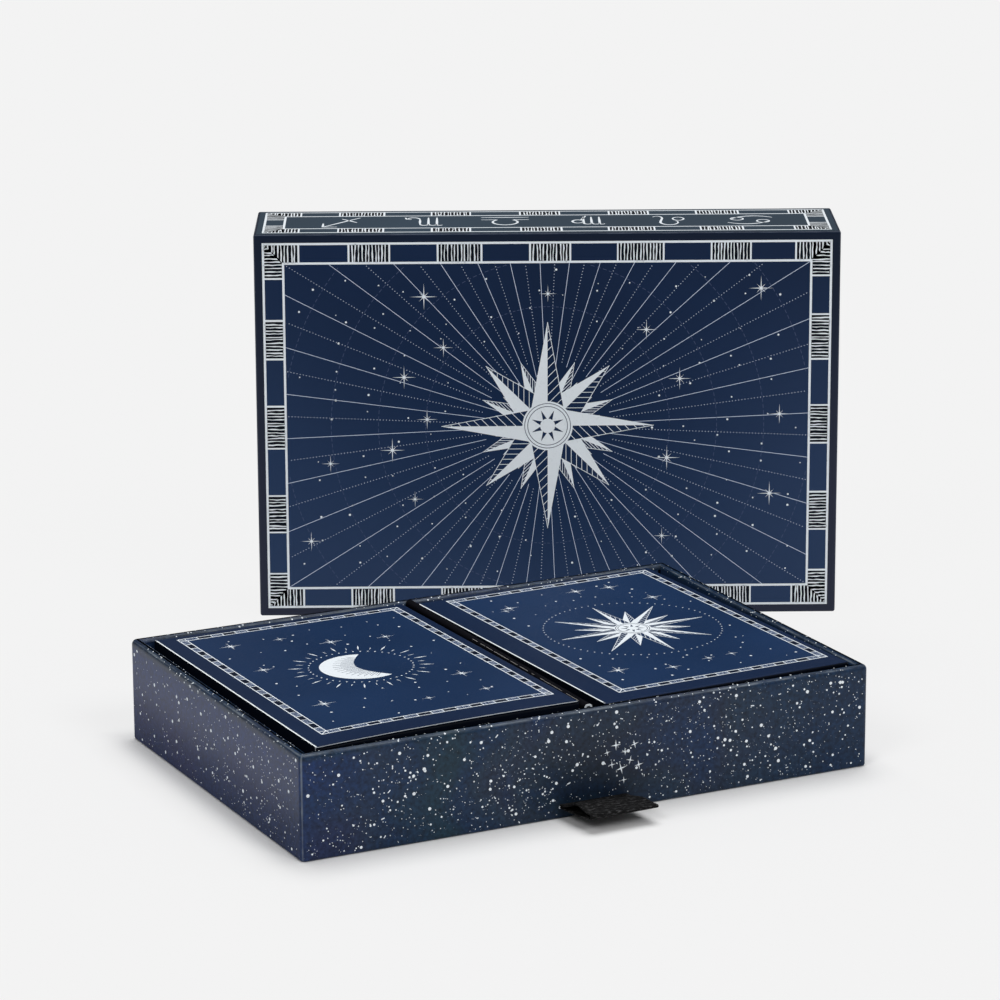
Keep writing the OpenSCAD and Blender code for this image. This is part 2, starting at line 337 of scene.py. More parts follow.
def wrapped(parts, place, middle, width, depth, profile, bends, corner_r, close=False, finishes=0):
    """Paper round a box: a profile of (inset, height) carried round a rectangle with round corners.

    The profile climbs on the outside. It closes on itself, or flat panels close its two ends. finishes is the
    finish of the paper, or one for each of the profile's steps.
    """
    smallest_r = 0.02
    insets = profile[:, 0]
    flat, corner = rings(width, depth, insets, np.maximum(corner_r - insets, smallest_r))
    rows, columns = flat.shape[:2]
    height = np.broadcast_to(profile[:, 1, None, None], (rows, columns, 1))
    wear = np.maximum(bends[:, None], corner[None, :] * (insets < corner_r)[:, None])
    faces = quads(rows, columns, close)
    groups = by_finish(faces, np.repeat(np.broadcast_to(finishes, len(faces) // columns), columns))
    if not close:
        groups += caps(rows, columns)
    parts.add(place.out(np.concatenate([flat + middle, height], -1)), *groups, wear=wear.ravel())


# Prints

class Print:
    """Ink on a flat side of a piece, drawn in the side's own millimetres along u and v."""

    def __init__(self, parts, place, origin, u_axis, v_axis):
        self.parts, self.place = parts, place
        self.origin, self.u, self.v = (np.array(a, float) for a in (origin, u_axis, v_axis))
        self.normal = np.cross(self.u, self.v)

    def lift(self, flat, height):
        """Points of the side, that height above it."""
        on_side = self.origin + flat[..., :1] * self.u + flat[..., 1:] * self.v
        return self.place.out(on_side + height * self.normal)

    def shapes(self, outlines, ink=BRIGHT, layer=0.0):
        """Thin blocks over outlines (M, K, 2), counter-clockwise, each seen whole from its own middle."""
        m, k = outlines.shape[:2]
        flat = np.concatenate([outlines, outlines.mean(1, keepdims=True)], 1)
        points = np.stack([self.lift(flat, -INK_SINK), self.lift(flat, INK_RISE + layer)], 1)
        over = k + 1
        base = np.arange(m)[:, None] * 2 * over
        here, hub = base + np.arange(k), base + np.full(k, k)
        after = base + (np.arange(k) + 1) % k
        foot, top = np.stack([hub, after, here], -1), np.stack([hub, here, after], -1) + over
        side = np.stack([here, after, after + over, here + over], -1)
        fans = np.vstack([foot.reshape(-1, 3), top.reshape(-1, 3)])
        self.parts.add(points, (fans, ink), (side.reshape(-1, 4), ink))

    def strip(self, path, width, closed=False, ink=BRIGHT, layer=0.0):
        """A line of ink along a path (S, 2), mitred at its points."""
        if closed:
            wide = np.vstack([path[-1:], path, path[:1]])
            left, right = beside(wide, width / 2)[1:-1], beside(wide, -width / 2)[1:-1]
        else:
            left, right = beside(path, width / 2), beside(path, -width / 2)
        self.band(left, right, closed, ink, layer)

    def band(self, left, right, closed=False, ink=BRIGHT, layer=0.0):
        """Ink between two edges, each a path (S, 2), left and right of the way that they run."""
        foot, top = -INK_SINK, INK_RISE + layer
        section = [self.lift(left, foot), self.lift(left, top), self.lift(right, top), self.lift(right, foot)]
        groups = [(quads(len(left), 4, closed), ink)]
        if not closed:
            groups += caps(len(left), 4, ink)
        self.parts.add(np.stack(section, 1), *groups)

    def brush(self, path, width):
        """A brush stroke along a path (S, 2), which swells from half its width at both ends."""
        path = finer(path, 0.3)
        share = np.linspace(0, math.pi, len(path))[:, None]
        side = (beside(path, width / 2) - path) * (0.5 + 0.5 * np.sin(share))
        self.band(path + side, path - side)

    def dashes(self, middles, angles, lengths, widths, ink=BRIGHT, layer=0.0):
        """Straight strokes: blocks of a length and width round their middles, each turned by its angle."""
        middles, angles, lengths, widths = arrays(middles, angles, lengths, widths)
        way = ways(angles)
        run, side = way * lengths[:, None] / 2, left_of(way) * widths[:, None] / 2
        corners = [-run - side, run - side, run + side, -run + side]
        self.shapes(np.stack([middles + c for c in corners], 1), ink, layer)

    def lines(self, starts, ends, width, ink=BRIGHT, layer=0.0):
        """Straight strokes from starts to ends, both (M, 2)."""
        run = ends - starts
        angles = np.arctan2(run[:, 1], run[:, 0])
        self.dashes((starts + ends) / 2, angles, np.hypot(*run.T), width, ink, layer)

    def stars(self, middles, radii, rays=4, waist=0.16, angles=0.0, ink=BRIGHT, layer=0.0):
        """Stars of so many rays: tips on the radius, and valleys between them at a share of it."""
        middles, angles, radii, waist = arrays(middles, angles, radii, waist)
        way = ways(angles[:, None] + np.arange(2 * rays) * math.pi / rays)
        reach = np.stack([radii, radii * waist], -1)[:, np.arange(2 * rays) % 2]
        self.shapes(middles[:, None] + reach[..., None] * way, ink, layer)

    def dots(self, middles, radii, sides=8, ink=BRIGHT):
        """Round dots."""
        self.stars(middles, radii, sides // 2, 1.0, 0.0, ink)

    def sparkles(self, middles, radii):
        """Stars with four long thin rays, four short ones between them, and a round heart."""
        radii, over = np.asarray(radii), 0.004
        self.stars(middles, radii, 4, 0.06)
        self.stars(middles, radii * 0.5, 4, 0.10, math.pi / 4, layer=over)
        self.stars(middles, radii * 0.13, 5, 1.0, layer=2 * over)


def arrays(middles, *values):
    """Middles (M, 2), and each value as an array of M."""
    middles = np.asarray(middles, float).reshape(-1, 2)
    return [middles] + [np.broadcast_to(np.asarray(v, float), len(middles)) for v in values]


def row_of(places, level):
    """Points (M, 2) at places along u, all at one level."""
    return np.stack([places, np.full(len(places), level)], -1)


def circle(radius, count, start=0.0, end=ROUND, middle=(0, 0)):
    """Points on an arc; a whole circle leaves out the last point, which is the first."""
    whole = abs(end - start - ROUND) < TINY
    return np.asarray(middle) + radius * ways(np.linspace(start, end, count, endpoint=not whole))


def frame_path(width, height, inset):
    """The four corners of a rectangle round the origin, drawn in by an inset, counter-clockwise."""
    x, y = width / 2 - inset, height / 2 - inset
    return np.array([[-x, -y], [x, -y], [x, y], [-x, y]])


def hatch(low, high, spacing=0.83, lean=0.2, weight=0.36):
    """Hand-drawn strokes (M, 10, 2) side by side along u in a block, each a little off its place and uneven.

    A stroke's middle wanders and its width changes from knot to knot, by shares of the pitch. Its ends fall
    short by shares of the block's height.
    """
    knots, off, wander, swell, short = 5, 0.14, 0.09, (0.5, 1.35), 0.09
    count = round((high[0] - low[0]) / spacing)
    pitch, tall = (high[0] - low[0]) / count, high[1] - low[1]
    place = low[0] + pitch * (np.arange(count) + 0.5 + random.uniform(-off, off, count))
    along = np.linspace(0, 1, knots)
    middle = place[:, None] + pitch * (random.uniform(-lean, lean, (count, 1)) * along
                                       + random.uniform(-wander, wander, (count, knots)))
    half = pitch * weight * random.uniform(*swell, (count, knots)) / 2
    rise = random.uniform(0, short, (2, count, 1)) * tall
    level = low[1] + rise[0] + (tall - rise.sum(0)) * along
    right, left = np.stack([middle + half, level], -1), np.stack([middle - half, level], -1)
    return np.concatenate([right, left[:, ::-1]], 1)


FRAME_INSET = 2.4
FRAME_BAND = 5.0
FRAME_LINE = 0.57
CORNER_RUN = 8.9
BLOCK_END = 0.5
BLOCK_PITCH = 22.8
BLOCK_RUN = (9.6, 11.8)
BAR_WIDTH = (0.38, 0.52)


def map_border(ink_on, width, height, blocks_wide, blocks_high, shift=0.0):
    """A chart's border: two lines round the side, with hatched blocks between them and at the corners.

    A corner has two arms, and in its square the strokes of both run out to the diagonal.
    """
    for inset in (FRAME_INSET, FRAME_INSET + FRAME_BAND):
        ink_on.strip(frame_path(width, height, inset), FRAME_LINE, True)
    arm = CORNER_RUN - BLOCK_END
    sides = [(width, height, blocks_wide), (height, width, blocks_high)] * 2
    for turn, (run, deep, blocks) in enumerate(sides):
        spin = quarter_turn(turn)
        start, end = -run / 2 + FRAME_INSET, run / 2 - FRAME_INSET
        low, high = -deep / 2 + FRAME_INSET, -deep / 2 + FRAME_INSET + FRAME_BAND
        level = (low + high) / 2
        middles = (np.arange(blocks) - (blocks - 1) / 2) * BLOCK_PITCH + shift * spin[0, 0]
        half = random.uniform(*BLOCK_RUN, blocks) / 2
        strokes = [hatch((m - h + BLOCK_END, low), (m + h - BLOCK_END, high)) for m, h in zip(middles, half)]
        for corner, first, last, inward in ((start, start, start + arm, 1), (end, end - arm, end, -1)):
            lines = hatch((first, low), (last, high))
            to_diagonal = np.minimum(inward * (lines[..., 0] - corner) / FRAME_BAND, 1)
            lines[..., 1] = low + (lines[..., 1] - low) * to_diagonal
            strokes.append(lines)
        dark = np.r_[middles, start + CORNER_RUN / 2, end - CORNER_RUN / 2]
        length = np.r_[2 * half, CORNER_RUN, CORNER_RUN]
        ink_on.dashes(row_of(dark, level) @ spin, QUARTER * turn, length, FRAME_BAND, NIGHT, BLOCK_LAYER)
        ink_on.shapes(np.concatenate(strokes) @ spin)
        bars = np.r_[middles - half, middles + half, start + CORNER_RUN, end - CORNER_RUN]
        thick = random.uniform(*BAR_WIDTH, len(bars))
        ink_on.dashes(row_of(bars, level) @ spin, QUARTER * (turn + 1), FRAME_BAND - FRAME_LINE, thick)


def compass_star(ink_on, reach, tiers, strokes=11, pen=0.15):
    """An engraved star: each ray has a bright half, and a half of fine strokes from its spine to its edge.

    A tier is (number of rays, length, waist, turn), with the length and the waist as shares of the reach.
    """
    share = np.linspace(0.04, 0.9, strokes)[:, None, None]
    for layer, (count, length, waist, turn) in enumerate(tiers):
        rise = 2 * LAYER * (len(tiers) - layer)
        angle = turn + np.arange(count) * ROUND / count
        tip, left = length * reach * ways(angle), waist * reach * ways(angle + math.pi / count)
        right = np.roll(left, 1, 0)
        ink_on.shapes(np.stack([0 * tip, tip, left], 1), BRIGHT, rise)
        ink_on.shapes(np.stack([0 * tip, right, tip], 1), FIELD, rise)
        spine = np.concatenate([share * tip, right[None]]).reshape(-1, 2)
        edge = np.concatenate([right + share * (tip - right), tip[None]]).reshape(-1, 2)
        ink_on.lines(spine, edge, pen, BRIGHT, rise + LAYER)


def engraved_disc(ink_on, radius, layer):
    """A bright disc with two dark rings and a small dark star."""
    points, pen = 64, 0.16
    ink_on.shapes(circle(radius, points)[None], BRIGHT, layer)
    for share in (0.91, 0.79):
        ink_on.strip(circle(radius * share, points), pen, True, FIELD, layer + LAYER)
    ink_on.stars([(0, 0)], radius * 0.68, 8, 0.36, math.pi / 8, FIELD, layer + LAYER)
    ink_on.stars([(0, 0)], radius * 0.3, 8, 1.0, 0.0, BRIGHT, layer + 2 * LAYER)


def scatter(count, width, height, keep_out):
    """Places strewn evenly in a rectangle, none within a distance of its middle.

    They are the steps k * (0.7549, 0.5698) modulo 1 from a random start, each shaken by about a millimetre.
    """
    tries, shake, half = 20 * count, 1.2, np.array([width, height]) / 2
    steps = random.random(2) + np.arange(tries)[:, None] * (0.7549, 0.5698)
    places = (steps % 1 * 2 - 1) * half + random.normal(0, shake, (tries, 2))
    clear = (np.abs(places) < half).all(1) & (np.hypot(*places.T) > keep_out)
    return places[clear][:count]


def strewn_stars(ink_on, width, height, dots, sparkles):
    """Dots and sparkles in a rectangle: for each (count, margin, keep-out, smallest, largest, sides)."""
    kinds = ((ink_on.dots, dots), (ink_on.sparkles, sparkles))
    for draw, (count, margin, keep_out, small, large, *sides) in kinds:
        places = scatter(count, width - margin, height - margin, keep_out)
        draw(places, random.uniform(small, large, count), *sides)


def star_chart(ink_on, width, height):
    """Evenly turned lines from a compass star to the border, dashed circles, and stars between them."""
    inset = FRAME_INSET + FRAME_BAND + FRAME_LINE / 2
    wide, high = width / 2 - inset, height / 2 - inset
    tiers = [(4, 1.0, 0.22, math.pi / 2), (4, 0.82, 0.24, math.pi / 4), (8, 0.66, 0.27, math.pi / 8),
             (16, 0.50, 0.30, math.pi / 16)]
    compass_star(ink_on, 27.0, tiers)
    engraved_disc(ink_on, 6.4, 10 * LAYER)
    count, pen, dot_r, dot_start, dot_pitch, margin = 72, 0.125, 0.11, 17.0, 0.8, 0.4
    angle = (np.arange(count) + 0.5) * ROUND / count
    edge = np.minimum(wide / np.abs(np.cos(angle)), high / np.abs(np.sin(angle)))[:, None]
    way = ways(angle)
    start = np.where(np.arange(count) % 4 == 0, 13.0, 16.0)[:, None]
    ink_on.lines((way * start)[::2], (way * edge)[::2], pen, FINE)
    far = np.arange(dot_start, np.hypot(wide, high), dot_pitch)
    dotted = way[1::2, None] * far[None, :, None]
    ink_on.dots(dotted[far[None] < edge[1::2] - margin], dot_r, 6, FINE)
    for radius, gap in ((31.0, 1.1), (43.0, 1.6), (55.0, 1.6), (67.0, 1.6)):
        turn = np.arange(0, ROUND, gap / radius)
        ring = radius * ways(turn)
        inside = (np.abs(ring) < (wide - 0.5, high - 0.5)).all(1)
        ink_on.dashes(ring[inside], turn[inside] + QUARTER, gap * 0.62, 0.13, FAINT)
    strewn_stars(ink_on, 2 * wide, 2 * high, (130, 3, 24, 0.13, 0.3), (16, 10, 30, 2.0, 3.6))


RING = 20


def zodiac_signs():
    """Six traditional signs as strokes in a square from -1 to 1. A stroke of RING points is closed."""
    def path(*runs):
        return np.vstack([np.reshape(run, (-1, 2)) for run in runs])

    def arc(radius, count, start, end, *middle):
        return circle(radius, count, start * math.pi, end * math.pi, middle)

    def arch(x):
        return path(arc(0.22, 9, 1, 0, x + 0.22, 0.4), (x + 0.44, -0.75))

    em = [path(arc(0.14, 6, 0.9, 0, -0.84, 0.5), (-0.7, -0.75)), arch(-0.7), arch(-0.26)]
    sagittarius = [path((-0.85, -0.85), (0.85, 0.85)), path((0.2, 0.85), (0.85, 0.85), (0.85, 0.2)),
                   path((-0.7, 0.05), (0.0, -0.65))]
    scorpio = em[:2] + [arch(-0.26)[:-1], path((0.18, 0.4), (0.18, -0.42)),
                        path((0.18, -0.4), arc(0.34, 9, 1, 1.9, 0.52, -0.42)),
                        path((0.62, -0.46), (0.86, -0.5), (0.95, -0.76))]
    libra = [path((-0.95, -0.72), (0.95, -0.72)),
             path((-0.95, -0.3), (-0.38, -0.3), arc(0.5, 17, 1.27, -0.27, 0, 0.12),
                  (0.38, -0.3), (0.95, -0.3))]
    virgo = em + [path((0.18, 0.2), arc(0.3, 13, 0.8, -0.7, 0.5, 0.1), (0.02, -0.95))]
    leo = [arc(0.3, RING, 0, 2, -0.55, -0.3),
           path(arc(0.48, 15, 1.2, -0.1, -0.02, 0.36), (0.3, -0.45), arc(0.25, 9, 1, 1.85, 0.58, -0.55))]
    cancer = [arc(0.27, RING, 0, 2, -0.55, 0.22), arc(0.27, RING, 0, 2, 0.55, -0.22),
              arc(1.15, 15, 0.84, 0.26, 0.2, -0.38), arc(1.15, 15, 1.84, 1.26, -0.2, 0.38)]
    return [cancer, leo, virgo, libra, scorpio, sagittarius]


def spine_print(ink_on, width, height):
    """A greyer, lighter ground of painted sheen, the border, and a row of signs that read from behind."""
    # The spine's ground panel is painted sheen over the navy print.
    ink_on.shapes(frame_path(width, height, SLEEVE_EDGE_R + 0.1)[None], FIELD, GROUND_LAYER)
    map_border(ink_on, width, height, 5, 0, 1.4)
    sizes = [(5.9, 6.6), (4.7, 6.7), (4.6, 6.8), (6.4, 7.2), (4.9, 7.2), (5.5, 6.8)]
    reach, pen, brush = 52, 0.42, 0.6
    for place, size, sign in zip(np.linspace(-reach, reach, len(sizes)), sizes, zodiac_signs()):
        for stroke in sign:
            if len(stroke) == RING:
                ink_on.strip(stroke * size + (place, 0), pen, True)
            else:
                ink_on.brush(stroke * size + (place, 0), brush)


def neat_line(ink_on, width, height):
    """A scale border: two fine lines with short blocks between them, dark and hatched by turns."""
    band, line, run, shake = 1.75, 0.25, 3.2, 0.25
    for inset in (0, band):
        corners = frame_path(width, height, inset)
        ink_on.strip(finer(np.vstack([corners, corners[:1]]), INK_STEP)[:-1], line, True)
    for turn, (across, deep) in enumerate([(width, height), (height, width)] * 2):
        spin = quarter_turn(turn)
        start, end = -across / 2, across / 2
        low, high = -deep / 2, -deep / 2 + band
        level = (low + high) / 2
        bars = np.linspace(start + band, end - band, 2 * round((end - start - 2 * band) / run / 2) + 2)
        bars[1:-1] += random.uniform(-shake, shake, len(bars) - 2)
        blocks = [hatch((a, low), (b, high), 0.42, 0.6, 0.16) for a, b in zip(bars[::2], bars[1::2])]
        ink_on.shapes(np.concatenate(blocks) @ spin, FINE)
        first, last = bars[1:-1:2], bars[2::2]
        blank = row_of((first + last) / 2, level) @ spin
        ink_on.dashes(blank, QUARTER * turn, last - first, band, NIGHT, BLOCK_LAYER)
        ink_on.dashes(row_of(bars, level) @ spin, QUARTER * (turn + 1), band - line, 0.8 * line)
        mitre = np.array([[start + band / 2, low + band / 2]]) @ spin
        ink_on.dashes(mitre, math.pi / 4 + QUARTER * turn, (band - line) * math.sqrt(2), line)


def deck_ground(ink_on, width, height, keep_out):
    """The border of a deck's face, with a paler ground and stars inside it."""
    rows, columns = 40, 20
    level = np.linspace(-height / 2, height / 2, rows)
    edges = [np.stack([np.full(rows, x), level], -1) for x in np.linspace(-width / 2, width / 2, columns + 1)]
    for left, right in zip(edges, edges[1:]):
        ink_on.band(left, right, ink=FIELD, layer=PANEL_LAYER)
    neat_line(ink_on, width, height)
    strewn_stars(ink_on, width, height, (46, 8, keep_out, 0.14, 0.34, 6), (9, 12, keep_out + 3, 1.6, 3.0))


def moon_print(ink_on, width, height):
    """A plain crescent with engraved strokes from its hollow side, in a ring of dots and short rays."""
    deck_ground(ink_on, width, height, 17)
    radius, half, hollow, points, pen, over = 9.6, 0.62 * math.pi, 4.6, 41, 0.14, 0.004
    outer = circle(radius, points, math.pi - half, math.pi + half)
    tips = outer[[0, -1]]
    bow = np.linspace(0, 1, points)[:, None]
    inner = tips[0] + (tips[1] - tips[0]) * bow - [[hollow, 0]] * np.sin(math.pi * bow)
    ink_on.band(inner, outer)
    for start, share in ((5, 0.62), (6, 0.4)):
        foot, head = inner[start:-5:2], outer[start:-5:2]
        ink_on.lines(foot, foot + (head - foot) * share, pen, FIELD, over)
    ink_on.dots(circle(12.0, 44), 0.22, 6)
    rays, ray_start = 32, 13.3
    turn = np.arange(rays) * ROUND / rays
    length = np.where(np.arange(rays) % 2 == 0, 3.4, 1.8)
    ink_on.stars((ray_start + length / 2)[:, None] * ways(turn), length / 2, 2, 0.12, turn)


def sun_print(ink_on, width, height):
    """A sixteen-pointed star round a plain disc, in a ring of dots."""
    deck_ground(ink_on, width, height, 23)
    compass_star(ink_on, 19.0, [(8, 1.0, 0.23, 0.0), (8, 0.72, 0.26, math.pi / 8)], 8, 0.13)
    engraved_disc(ink_on, 4.4, 0.02)
    ink_on.dots(circle(21.0, 72), 0.18, 6)


def speckle(ink_on, width, height, density, large_share):
    """Spray-like stars on a wall: some of them gather in wide drifts, and few are large.

    Most radii spread log-normally round 0.1 mm, a share is spread evenly from 0.2 to 0.42 mm, and a few small
    stars are drawn out to short dashes.
    """
    usual_r, large_r, largest_r, in_drifts, dash_share = 0.1, 0.2, 0.42, 0.45, 0.03
    size = np.array([width, height])
    count = int(width * height * density)
    drifts = random.uniform(-0.5, 0.5, (max(3, int(width / 9)), 2)) * size
    of_drift = random.integers(0, len(drifts), count)
    spread = random.uniform(2.5, 7.0, len(drifts))[of_drift]
    gathered = drifts[of_drift] + random.normal(0, 1, (count, 2)) * spread[:, None] * (1.6, 1.0)
    loose = random.uniform(-0.5, 0.5, (count, 2)) * size
    places = np.where(random.random((count, 1)) < in_drifts, gathered, loose)
    radii = usual_r * np.exp(random.normal(0, 0.42, count))
    radii = np.where(random.random(count) < large_share, random.uniform(large_r, largest_r, count), radii)
    inside = (np.abs(places) < size / 2 - radii[:, None]).all(1)
    drawn_out = inside & (radii < large_r) & (random.random(count) < dash_share)
    small = inside & ~drawn_out & (radii < large_r)
    large = inside & ~drawn_out & ~small
    ink_on.dots(places[small], radii[small], 6)
    ink_on.dots(places[large], radii[large], 12)
    angles, radii = random.uniform(0, math.pi, drawn_out.sum()), radii[drawn_out]
    ink_on.dashes(places[drawn_out], angles, 5 * radii, 1.4 * radii)


# Finishes

class Value:
    """A shader value: reckoning with it adds Math nodes to its finish."""

    def __init__(self, finish, socket):
        self.finish, self.socket = finish, socket

    def math(self, operation, first, second):
        return self.finish.node("ShaderNodeMath", {"operation": operation}, {0: first, 1: second})

    def __add__(self, other):
        return self.math("ADD", self, other)

    def __sub__(self, other):
        return self.math("SUBTRACT", self, other)

    def __rsub__(self, other):
        return self.math("SUBTRACT", other, self)

    def __mul__(self, other):
        return self.math("MULTIPLY", self, other)

    def __lt__(self, other):
        return self.math("LESS_THAN", self, other)

    def __abs__(self):
        return self.math("ABSOLUTE", self, 0.0)

    def larger(self, other):
        return self.math("MAXIMUM", self, other)

    __radd__, __rmul__ = __add__, __mul__


class Finish:
    """A material whose nodes are added by name, with a Principled shader at its end."""

    def __init__(self, name, **constants):
        self.material = bpy.data.materials.new(name)
        self.material.use_nodes = True
        self.tree = self.material.node_tree
        self.shader = self.tree.nodes["Principled BSDF"]
        for socket, value in constants.items():
            self.shader.inputs[socket.replace("_", " ")].default_value = value

    def node(self, kind, settings=None, inputs=None, output=0):
        """A node of a kind: its settings first, then its sockets' values or links. Returns one output."""
        node = self.tree.nodes.new(kind)
        for key, value in (settings or {}).items():
            if key == "stops":
                while len(node.color_ramp.elements) < len(value):
                    node.color_ramp.elements.new(0.5)
                for element, (position, shade) in zip(node.color_ramp.elements, value):
                    element.position, element.color = position, shade
            else:
                setattr(node, key, value)
        for key, value in (inputs or {}).items():
            if isinstance(value, Value):
                self.tree.links.new(value.socket, node.inputs[key])
            else:
                node.inputs[key].default_value = value
        return Value(self, node.outputs[output])

    def feed(self, **inputs):
        """Links values to the shader's sockets, and returns the material."""
        for socket, value in inputs.items():
            self.tree.links.new(value.socket, self.shader.inputs[socket.replace("_", " ")])
        return self.material

    def place(self):
        return self.node("ShaderNodeTexCoord", output="Object")

    def along(self, axes):
        """The place's metres along each of some axes, such as XZ."""
        spot = self.place()
        return [self.node("ShaderNodeSeparateXYZ", None, {0: spot}, axis) for axis in axes]

    def noise(self, size, detail=3.0, roughness=0.55, distortion=0.0):
        """Cloudy values from 0 to 1 with features of a size in millimetres."""
        inputs = {"Vector": self.place(), "Scale": 1 / (size * MM), "Detail": detail, "Roughness": roughness,
                  "Distortion": distortion}
        return self.node("ShaderNodeTexNoise", None, inputs)

    def attribute(self, name):
        return self.node("ShaderNodeAttribute", {"attribute_name": name}, output="Fac")

    def ramp(self, value, *stops):
        """A colour for each level of a value, from stops of (level, colour)."""
        return self.node("ShaderNodeValToRGB", {"stops": [(at, (*c, 1)) for at, c in stops]}, {0: value})

    def mottled(self, value, colour, spread):
        """A colour that a cloudy value darkens and lightens by a spread."""
        return self.ramp(value, (0.3, shade(colour, 1 - spread)), (0.7, shade(colour, 1 + spread)))

    def mix(self, first, second, share):
        """One colour over another, by a share from 0 to 1."""
        tint = [(*c, 1) if isinstance(c, tuple) else c for c in (first, second)]
        return self.node("ShaderNodeMix", {"data_type": "RGBA"}, {0: share, 6: tint[0], 7: tint[1]}, output=2)

    def step(self, value, low, high):
        """A value's way from low to high, eased, from 0 to 1."""
        settings = {"interpolation_type": "SMOOTHSTEP"}
        return self.node("ShaderNodeMapRange", settings, {"Value": value, "From Min": low, "From Max": high})

    def rubbed_and_highlit(self, low, high):
        """Where edges turn pale, in patches, from 0 to 1: partly worn ink, partly painted highlight. The edge
        mark rises there from low to high.
        """
        return self.step(self.attribute("wear") + 0.35 * self.noise(7.0, 3.0), low, high)

    def bump(self, height, depth):
        """A surface raised by a value times a depth in millimetres."""
        return self.node("ShaderNodeBump", None, {"Height": height, "Strength": 1.0, "Distance": depth * MM})

    def grained(self, colour, rough):
        """The material with a colour, a roughness and the fine grain of coated paper."""
        grain = self.noise(0.35, 2.0, 0.6)
        rough = rough + 0.1 * (grain - 0.5)
        return self.feed(Base_Color=colour, Roughness=rough, Normal=self.bump(grain, 0.005))


def shade(colour, factor):
    return tuple(c * factor for c in colour)


def printed_paper(name, colour, rough=0.42, specular=0.15, foot=None):
    """Ink-covered paper under a matte film: faint mottling, fine grain, and pale lines along sharp edges,
    partly worn ink and partly painted highlight.

    A foot is the lighter colour that the sleeve's ground turns to below 70 mm, and sooner towards its
    sides: painted light, which offsets the shade that the tray casts on the sleeve's lower faces.
    """
    f = Finish(name, Specular_IOR_Level=specular)
    ground = f.mottled(f.noise(38.0, 2.0), colour, 0.12)
    if foot:
        # Painted light: lighter towards the foot, against the shade that the tray casts on the sleeve.
        sideways, height = f.along("XZ")
        from_middle = abs(sideways - float(sleeve.origin[0] * MM))
        ground = f.mix(foot, ground, f.step(height - 0.5 * from_middle, -0.01, 0.07))
    # Pale marks along the edges: partly worn ink, partly painted highlight.
    return f.grained(f.mix(ground, (0.12, 0.15, 0.21), f.rubbed_and_highlit(1.02, 1.25) * 0.5), rough)


def starry_paper(name):
    """Paper printed with a night sky: drifts of violet and teal, and star dust.

    Painted light is in it too: shade round the pull tab, sheen in the left wall's violet, and highlight
    in its pale edge marks, which are partly worn ink.
    """
    tab_root = tuple(tray.out(np.array([0, -TRAY_D / 2, tray.box("pull_tab")[1][2]])))
    f = Finish(name, Specular_IOR_Level=0.25)
    drift, veil = f.noise(30.0, 2.0, 0.5, 0.6), f.noise(17.0, 2.0)
    sideways, height = f.along("XZ")
    teal = f.ramp(drift, (0.30, (0.009, 0.030, 0.052)), (0.42, (0.007, 0.024, 0.064)),
                  (0.52, (0.014, 0.030, 0.058)), (0.62, (0.014, 0.025, 0.054)), (0.72, (0.007, 0.024, 0.072)))
    teal = f.mix(teal, (0.005, 0.022, 0.058), 0.7 * f.step(sideways, 0.045, 0.075))
    # The left wall's violet, bluer above its foot, is partly print and partly painted sheen of that wall.
    violet = f.ramp(drift, (0.30, (0.008, 0.024, 0.078)), (0.50, (0.011, 0.023, 0.082)),
                    (0.70, (0.015, 0.021, 0.078)))
    violet = f.mix(violet, (0.006, 0.025, 0.110), 0.8 * f.step(height, 0.006, 0.020))
    rightwards, on_rim = f.step(sideways, -0.055, -0.015), f.step(height, 0.0215, 0.0235)
    ground = f.mix(violet, teal, rightwards.larger(on_rim))
    mottle = 2 * f.noise(0.9, 2.0)
    ground = f.node("ShaderNodeVectorMath", {"operation": "SCALE"}, {0: ground, "Scale": mottle})
    cells = f.node("ShaderNodeTexVoronoi", None, {"Vector": f.place(), "Scale": 1 / (0.85 * MM)})
    dust = (cells < 0.1) * f.step(veil, 0.36, 0.58)
    ground = f.mix(ground, (0.30, 0.35, 0.44), dust * 0.7)
    # Painted shade: the ground darkens round the pull tab's root, where the ribbon shades the wall.
    from_tab = f.node("ShaderNodeVectorMath", {"operation": "DISTANCE"}, {0: f.place(), 1: tab_root}, "Value")
    ground = f.mix((0.002, 0.006, 0.012), ground, 0.5 + 0.5 * f.step(from_tab, 0.006, 0.024))
    dull = 1 - f.step(height, 0.002, 0.017)
    # Pale marks on the rim's crests and corners: partly worn ink, partly painted highlight.
    return f.grained(f.mix(ground, (0.24, 0.28, 0.32), f.rubbed_and_highlit(1.06, 1.24) * 0.6), 0.36 + 0.26 * dull)


def plain_paper(name, colour, rough=0.75, fibre=0.5, depth=0.02, spread=0.15, specular=0.25):
    """Uncoated paper or board: pale and dark fibres in the colour, by a spread."""
    f = Finish(name, Specular_IOR_Level=specular)
    pulp, cloud = f.noise(fibre, 4.0, 0.65, 0.8), f.noise(6.0, 2.0)
    return f.feed(Base_Color=f.mottled(0.65 * pulp + 0.35 * cloud, colour, spread),
                  Roughness=rough + 0.1 * (pulp - 0.5), Normal=f.bump(pulp, depth))


def ink_finish(name, colour):
    """Opaque ink, a little thinner in spots."""
    f = Finish(name, Specular_IOR_Level=0.15)
    thin = f.step(f.noise(0.6, 3.0, 0.7), 0.2, 0.45)
    return f.feed(Base_Color=f.mix(shade(colour, 0.88), colour, thin), Roughness=0.5 + 0.12 * (1 - thin))


